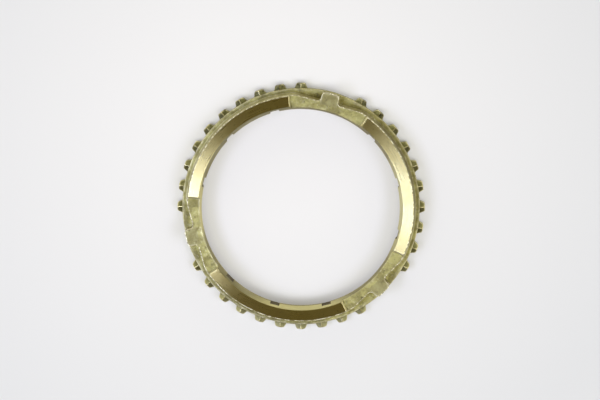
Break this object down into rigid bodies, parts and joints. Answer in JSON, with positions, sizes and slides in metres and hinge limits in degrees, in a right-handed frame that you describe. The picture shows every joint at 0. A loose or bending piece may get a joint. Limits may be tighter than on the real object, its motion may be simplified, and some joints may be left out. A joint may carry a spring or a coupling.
{
  "type": "synchronizer ring",
  "caption": "Brass gearbox synchronizer ring with roof-pointed blocker teeth, index lugs on forged pads, a turned hub-side face and a grooved friction cone.",
  "frame": {"origin": "centre of the flat gear-side face, which the ring rests on", "axes": "+Z along the ring's axis from the gear side towards the synchronizer hub, +X through a blocker tooth"},
  "size_m": [0.074, 0.074, 0.009],
  "materials": {
    "brass": "turned bright on the hub-side face and the cone, dull as forged on the pads, lugs and teeth"
  },
  "bodies": {
    "root": {"synchronizer_ring": "brass"}
  },
  "joints": []
}
